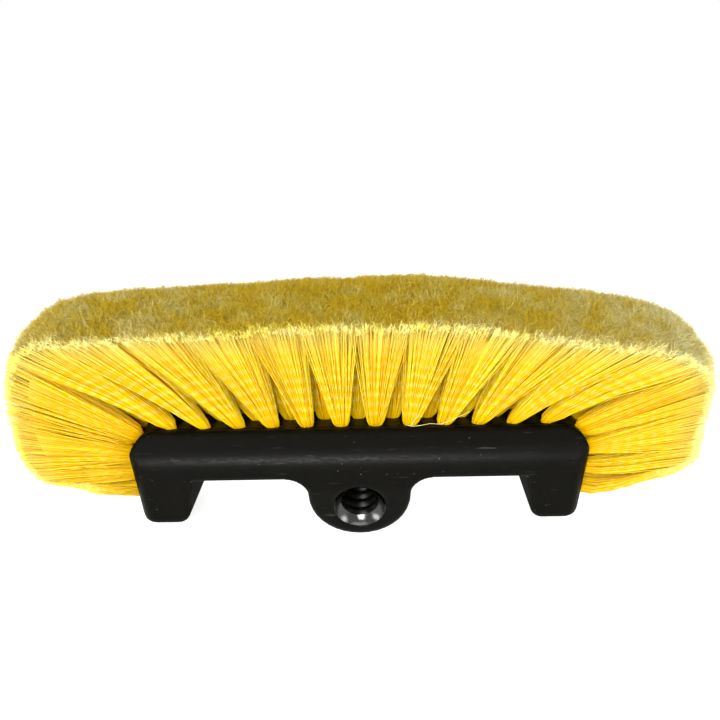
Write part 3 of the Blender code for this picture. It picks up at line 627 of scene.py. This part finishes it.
def make_tufts(node, side, pairs, seed):
    rng = np.random.default_rng(seed)
    made = [filament_lines(column, row, side, rng) for column, row in pairs]
    lines, lean, shade, crown = [np.concatenate(part) for part in zip(*made)]
    cores = np.stack([core_ring_points(column, row, side) for column, row in pairs])
    count, rings = lines.shape[:2]
    radii = FILAMENT_RADIUS * rng.uniform(*THICKNESS, (count, 1)) * TUBE_TAPER
    tubes = sweep(lines, radii, TUBE_SIDES, seed)
    hairs, hair_tone, hair_crown = hair_lines(lines, lean, crown, rng)
    thin = HAIR_RADIUS * HAIR_TAPER * rng.uniform(*HAIR_THICKNESS, (len(hairs), 1))
    ribbons = sweep(hairs, thin, RIBBON_SIDES, seed + 1)
    vertices = [part.reshape(-1, 3) for part in (tubes, ribbons, cores)]
    on_tubes, on_hairs, on_cores = map(len, vertices)
    on_tube, on_hair, on_core = rings * TUBE_SIDES, len(HAIR_TAPER) * RIBBON_SIDES, rings * CORE_SIDES

    tube_quads = swept_faces(count, rings, TUBE_SIDES, True, 0)
    ribbon_quads = swept_faces(len(hairs), len(HAIR_TAPER), RIBBON_SIDES, False, on_tubes)
    core_quads = [core_faces(on_tubes + on_hairs + number * on_core) for number in range(len(pairs))]
    quads = np.concatenate([tube_quads, ribbon_quads, *core_quads])
    slots = np.repeat([0, 1, 0], [len(tube_quads), len(ribbon_quads), sum(map(len, core_quads))])

    # The tufts of the ends are given a deeper colour
    palest = np.repeat([END_TONE if column > LAST_CROWN_COLUMN else 1.0 for column, _ in pairs], PER_TUFT)
    tone = rng.uniform(0, 1, count) ** TONE_POWER * palest
    run = np.linalg.norm(lines[:, -1] - lines[:, 0], axis=1)[:, None] * STEPS / MM
    # The tops of the cores on the crown get part of its painted shade
    core_crown = [CORE_CROWN * (column < LAST_CROWN_COLUMN) for column, _ in pairs]
    nothing = np.zeros(on_hairs + on_cores)
    attributes = {
        "along": (np.tile(np.repeat(STEPS, TUBE_SIDES), count), np.ones(on_hairs),
                  np.tile(np.repeat(STEPS, CORE_SIDES), len(pairs))),
        "run_mm": (np.repeat(run.ravel(), TUBE_SIDES), nothing),
        "shade": (np.repeat(shade, on_tube), nothing),
        "tone": (np.repeat(tone, on_tube), np.repeat(hair_tone, on_hair), np.full(on_cores, CORE_SHADE_TONE)),
        "crown": (np.repeat(crown, on_tube), np.repeat(hair_crown, on_hair), np.repeat(core_crown, on_core)),
    }
    attributes = {key: np.concatenate(parts) for key, parts in attributes.items()}
    mesh = mesh_of(node + "_filaments", np.concatenate(vertices), quads, slots, attributes,
                   [yellow_filament, flagged_end])
    piece = add_piece(mesh)
    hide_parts(node)
    return len(quads)


total = 0
for number, (node, (side, pairs)) in enumerate(tufts_of_node.items()):
    total += make_tufts(node, side, pairs, FIRST_SEED + number * SEED_STEP)
print("faces of all tufts", total)

# %% [markdown]
# ## Loose filaments
# Wherever tufts are punched in by machine, a few filaments miss the fold and stay behind. One lies on the black face
# between two holes, one crosses a gap at the left, and two stray up over the front of their tufts. They are swept
# like the rest, from a few points each, in millimetres from the middle of the tufted face.

# %% Make the loose filaments
LOOSE_PATHS = (
    ((19.0, -24.2, 0.4), (21.8, -26.3, 0.5), (25.1, -25.4, 0.4), (29.2, -23.2, 0.5), (33.5, -24.6, 0.6),
     (38.0, -26.0, 2.8), (45.0, -27.2, 6.5)),
    ((-77.5, -24.5, 10.0), (-75.8, -27.0, 9.2), (-72.7, -28.0, 7.8), (-69.9, -27.4, 5.9), (-66.8, -25.6, 4.0)),
    ((21.5, -25.6, 0.6), (24.6, -27.4, 6.0), (27.0, -28.4, 12.0), (31.0, -30.6, 21.0)),
    ((-22.6, -25.5, 4.0), (-25.6, -28.4, 13.0), (-29.6, -31.0, 24.0), (-31.0, -34.2, 36.0)),
)
# LOOSE_CROWN gives the loose filaments part of the crown's painted shade
LOOSE_RADIUS, LOOSE_SIDES, LOOSE_TONE, LOOSE_CROWN = 0.11 * MM, 4, 0.95, 0.25


def make_loose_filaments():
    vertices, quads, first = [], [], 0
    for path in LOOSE_PATHS:
        points = (np.array(path) * MM + np.array([0, 0, FACE_HEIGHT]))[None]
        radii = np.full(points.shape[:2], LOOSE_RADIUS)
        vertices.append(sweep(points, radii, LOOSE_SIDES, first).reshape(-1, 3))
        quads.append(swept_faces(1, len(path), LOOSE_SIDES, True, first))
        first += len(path) * LOOSE_SIDES
    vertices, quads = np.concatenate(vertices), np.concatenate(quads)
    attributes = {"tone": np.full(len(vertices), LOOSE_TONE), "crown": np.full(len(vertices), LOOSE_CROWN)}
    return mesh_of("loose_filaments", vertices, quads, np.zeros(len(quads)), attributes, [flagged_end])


add_piece(make_loose_filaments())
print("loose filaments", len(LOOSE_PATHS))

# %% [markdown]
# ## The tufted face
# In the solid model the outer layer of the block belongs to the tufts, so replacing those leaves a recess. This
# piece fills it with the same black plastic, flush with the block, over the top, the corners and the ends. A band of
# even thickness that follows the block's outline is the simplest form that does so.

# %% Plate of the tufted face
FACE_LAYER, FACE_MARGIN, FACE_GAP = 2.78 * MM, 3.65 * MM, 0.01 * MM
CORNER_STEPS = 12


def mesh_from(form, name, material=None):
    """Turn a finished form into a mesh."""
    mesh = bpy.data.meshes.new(name)
    form.to_mesh(mesh)
    form.free()
    if material:
        mesh.materials.append(material)
    return mesh


def make_tufted_face():
    corner = [FLAT_HALF + CORNER_LENGTH * step / CORNER_STEPS for step in range(CORNER_STEPS + 1)]
    stops = [0.0, *corner, column_place(LAST_END_COLUMN) + FACE_MARGIN]
    half_width = LAST_ROW * ROW_PITCH + FACE_MARGIN
    outer, inner = [[on_outline(stop, inset)[0] for stop in stops] for inset in (FACE_GAP, FACE_LAYER)]
    outer, inner = [[Vector((-p.x, 0, p.z)) for p in half[:0:-1]] + half for half in (outer, inner)]
    form = bmesh.new()
    front, back = [[form.verts.new(p + Vector((0, y, 0))) for p in outer + inner[::-1]]
                   for y in (-half_width, half_width)]
    form.faces.new(front)
    form.faces.new(back[::-1])
    for place in range(len(front)):
        after = (place + 1) % len(front)
        form.faces.new((front[after], front[place], back[place], back[after]))
    bmesh.ops.recalc_face_normals(form, faces=form.faces)
    return mesh_from(form, "tufted_face", satin_black)


face = add_piece(make_tufted_face())
print("tufted face", [round(v / MM, 1) for v in face.dimensions], "mm")

# %% [markdown]
# ## The holes
# On the real block each hole is drilled along the lean of its tuft. A round pin stands for each drill, and one
# boolean cuts all of them out of the face at once, which is faster and cleaner than a cut for each.

# %% Holes of the tufted face
DRILL_SIDES, DRILL_LENGTH, SHARP_AT_HOLES = 20, 4 * MM, math.radians(35)


def make_drills():
    form = bmesh.new()
    for side, pairs in tufts_of_node.values():
        for column, row in pairs:
            hole, _, aim = hole_and_aim(column, row, side)
            hole, aim = Vector(hole), Vector(aim)
            turn = (aim - hole).to_track_quat("Z", "Y").to_matrix().to_4x4()
            bmesh.ops.create_cone(form, cap_ends=True, segments=DRILL_SIDES, radius1=HOLE_RADIUS, radius2=HOLE_RADIUS,
                                  depth=DRILL_LENGTH, matrix=Matrix.Translation(hole) @ turn)
    return mesh_from(form, "drills")


drills = add_object("drills", make_drills())
cut = face.modifiers.new("holes", "BOOLEAN")
cut.object, cut.solver, cut.use_self = drills, "EXACT", True
drilled = bpy.data.meshes.new_from_object(face.evaluated_get(bpy.context.evaluated_depsgraph_get()))
face.modifiers.clear()
face.data = drilled
bpy.data.objects.remove(drills)
face.data.shade_smooth()
face.data.set_sharp_from_angle(angle=SHARP_AT_HOLES)
print("tufted face", len(face.data.polygons), "faces")

# %% [markdown]
# ## The socket's thread
# A pole screws into the block by a coarse thread, 3/4 inch with 5 turns to the inch. The solid model has a plain
# bore there. The ridge is a swept outline: a trapezoid with broken corners that follows a helix of 5.08 mm pitch
# from just inside the mouth to the bottom, and fades into the wall over its first and last third of a turn.

# %% Make the thread
SOCKET_TILT = math.radians(22)
SOCKET_MOUTH = Vector((0.0, -29.5 * MM, FACE_HEIGHT - 32.8 * MM))
SOCKET_INWARD = Vector((0.0, math.cos(SOCKET_TILT), math.sin(SOCKET_TILT)))
SOCKET_RIGHT = Vector((1.0, 0.0, 0.0))
SOCKET_UP = SOCKET_RIGHT.cross(SOCKET_INWARD)
THREAD_WALL, THREAD_CREST, THREAD_PITCH, THREAD_START = 9.75 * MM, 7.1 * MM, 5.08 * MM, 2.6 * MM
THREAD_TURNS, STEPS_PER_TURN, FADE_TURNS, SHARP_AT_THREAD = 5, 64, 1 / 3, math.radians(50)
THREAD_PROFILE = ((-0.52, 0.0), (-0.2, 0.88), (-0.12, 1.0), (0.1, 1.0), (0.18, 0.88), (0.34, 0.0))


def in_socket(turn, radius, depth):
    """A point in the socket, by its turn round the axis, its distance from it and its depth past the mouth."""
    direction = SOCKET_RIGHT * math.cos(turn) + SOCKET_UP * math.sin(turn)
    return SOCKET_MOUTH + SOCKET_INWARD * depth + direction * radius


def skin(form, rings, closed):
    """Quads between each ring of points and the next, all facing the same way."""
    for low, high in zip(rings, rings[1:]):
        for place in range(len(low) if closed else len(low) - 1):
            after = (place + 1) % len(low)
            form.faces.new((low[place], low[after], high[after], high[place]))
    bmesh.ops.recalc_face_normals(form, faces=form.faces)


def make_thread():
    form = bmesh.new()
    rings = []
    last, fading = THREAD_TURNS * STEPS_PER_TURN, FADE_TURNS * STEPS_PER_TURN
    for step in range(last + 1):
        turn = 2 * math.pi * step / STEPS_PER_TURN
        height = (THREAD_WALL - THREAD_CREST) * min(1.0, step / fading, (last - step) / fading)
        rings.append([
            form.verts.new(in_socket(turn, THREAD_WALL - height * rise,
                                     THREAD_START + THREAD_PITCH * (step / STEPS_PER_TURN + share)))
            for share, rise in THREAD_PROFILE])
    skin(form, rings, closed=False)
    mesh = mesh_from(form, "socket_thread", worn_black)
    mesh.shade_smooth()
    mesh.set_sharp_from_angle(angle=SHARP_AT_THREAD)
    return mesh


# %% [markdown]
# ## The socket's lead-in
# Between the edge of the mouth and the first turn of the thread, the core that formed the socket left a hollowed,
# polished ring, which guides the pole in. A chamfer on the block would do for its outline, but it is the curve that
# catches the lamps as small spots, so it is a piece of its own: rings whose radius shrinks faster and faster.

# %% Make the lead-in
LEAD_START, LEAD_DEPTH, LEAD_STEPS = 0.15 * MM, 3.4 * MM, 8
LEAD_RADIUS, LEAD_SLOPE, LEAD_CURVE = 10.65 * MM, 1.6 * MM, 1.3 * MM


def make_lead_in():
    form = bmesh.new()
    rings = []
    for share in (step / LEAD_STEPS for step in range(LEAD_STEPS + 1)):
        radius = LEAD_RADIUS - LEAD_SLOPE * share - LEAD_CURVE * share ** 2
        rings.append([
            form.verts.new(in_socket(2 * math.pi * place / STEPS_PER_TURN, radius, LEAD_START + LEAD_DEPTH * share))
            for place in range(STEPS_PER_TURN)])
    skin(form, rings, closed=True)
    # The socket is seen from within
    bmesh.ops.reverse_faces(form, faces=form.faces)
    mesh = mesh_from(form, "socket_lead_in", gloss_black)
    mesh.shade_smooth()
    return mesh


add_piece(make_lead_in())
thread = add_piece(make_thread())
print("thread faces", len(thread.data.polygons))

# %% [markdown]
# ## Floor
# The brush stands on a plain pale floor, a wide disc. A brighter floor would light the black block from below, so it
# glows instead, and only for the rays that show the background: those from the camera, from gloss and through glass.

# %% Floor
FLOOR_RADIUS, FLOOR_SIDES, FLOOR_GLOW = 6.0, 96, 0.63


def background_rays(owner, path):
    """1 for the rays that show the background: from the camera, from gloss and through glass."""
    seen = path.outputs["Is Camera Ray"]
    for kind in ("Is Glossy Ray", "Is Transmission Ray"):
        seen = add_node(owner, "Math", {0: seen, 1: path.outputs[kind]}, operation="MAXIMUM").outputs[0]
    return seen


def make_floor_material():
    material, shader = new_material("painted_studio_floor_white")
    shown = background_rays(material, add_node(material, "LightPath"))
    lift = add_node(material, "Math", {0: shown, 1: FLOOR_GLOW}, operation="MULTIPLY")
    fill_inputs(material, shader, {
        "Base Color": linear("#f4f4f4"), "Roughness": 0.9, "Specular IOR Level": 0.1,
        "Emission Color": linear("#ffffff"), "Emission Strength": lift.outputs[0]})
    return material


floor_form = bmesh.new()
bmesh.ops.create_circle(floor_form, cap_ends=True, segments=FLOOR_SIDES, radius=FLOOR_RADIUS)
floor = add_object("floor", mesh_from(floor_form, "floor", make_floor_material()))
print("floor", 2 * FLOOR_RADIUS, "m across")

# %% [markdown]
# ## Light
# A soft key light stands in front and a little above, so that its highlight runs along the block's shoulder. Weaker
# ones above, on each side and behind fill the shadows, and the mouth of the socket mirrors them. The world is a dim
# white that looks full white to the same rays as the floor.

# %% World and lamps
WORLD_LIGHT = 0.52
MIDDLE = (0, 0, 0.06)
LAMPS = {
    # name: place, aim, width and height in metres, power in watts
    "front_softbox": ((-0.1, -1.25, 0.41), MIDDLE, (0.4, 0.3), 18),
    "upper_softbox": ((0.1, -0.9, 0.95), MIDDLE, (1.2, 0.07), 3.4),
    "overhead_softbox": ((-0.55, -0.58, 1.0), MIDDLE, (0.25, 0.2), 1.8),
    "left_softbox": ((-0.9, -0.44, 0.15), (0, 0, 0.02), (0.48, 0.26), 4.4),
    "right_softbox": ((1.1, -0.5, 0.3), MIDDLE, (0.5, 0.4), 6),
    "back_softbox": ((0.1, 1.1, 0.5), MIDDLE, (0.9, 0.4), 4),
}


def make_world():
    world = bpy.data.worlds.new("studio")
    bpy.context.scene.world = world
    world.use_nodes = True
    shown = background_rays(world, add_node(world, "LightPath"))
    strength = add_node(world, "MapRange", {"Value": shown, "To Min": WORLD_LIGHT, "To Max": 1.0})
    fill_inputs(world, world.node_tree.nodes["Background"], {
        "Color": linear("#ffffff"), "Strength": strength.outputs[0]})


def add_lamp(name, place, aim, size, power):
    lamp = bpy.data.lights.new(name, "AREA")
    lamp.shape, lamp.size, lamp.size_y, lamp.energy = "RECTANGLE", *size, power
    holder = add_object(name, lamp)
    holder.location = place
    holder.rotation_euler = (Vector(aim) - Vector(place)).to_track_quat("-Z", "Y").to_euler()


make_world()
for name, lamp in LAMPS.items():
    add_lamp(name, *lamp)
print("lamps", len(LAMPS))

# %% [markdown]
# ## Camera
# The camera stands where the photographer's stood: half a metre away, a little above and hardly turned. Its place and
# lens come from how the block's edges run together in the photograph, and were corrected by laying outlines over it.

# %% Camera
PICTURE_PIXELS, FOCAL_PIXELS, SENSOR_MM = 720, 1150, 36.0
CAMERA_PLACE = (9.9 * MM, -470.9 * MM, 188.7 * MM)
AZIMUTH, ELEVATION, ROLL = math.radians(-1.10), math.radians(14.32), math.radians(1.31)

camera = bpy.data.cameras.new("camera")
camera.sensor_width = SENSOR_MM
camera.lens = SENSOR_MM * FOCAL_PIXELS / PICTURE_PIXELS
camera.clip_start, camera.clip_end = 0.01, 50.0
camera_holder = add_object("camera", camera)
forward = Vector((
    math.sin(AZIMUTH) * math.cos(ELEVATION), math.cos(AZIMUTH) * math.cos(ELEVATION), -math.sin(ELEVATION)))
upright = forward.to_track_quat("-Z", "Y").to_matrix()
turned = Matrix.Rotation(ROLL, 3, forward) @ upright
camera_holder.matrix_world = Matrix.Translation(CAMERA_PLACE) @ turned.to_4x4()
bpy.context.scene.camera = camera_holder
bpy.context.scene.view_settings.view_transform = "Standard"
print("camera", round(camera.lens, 1), "mm lens")
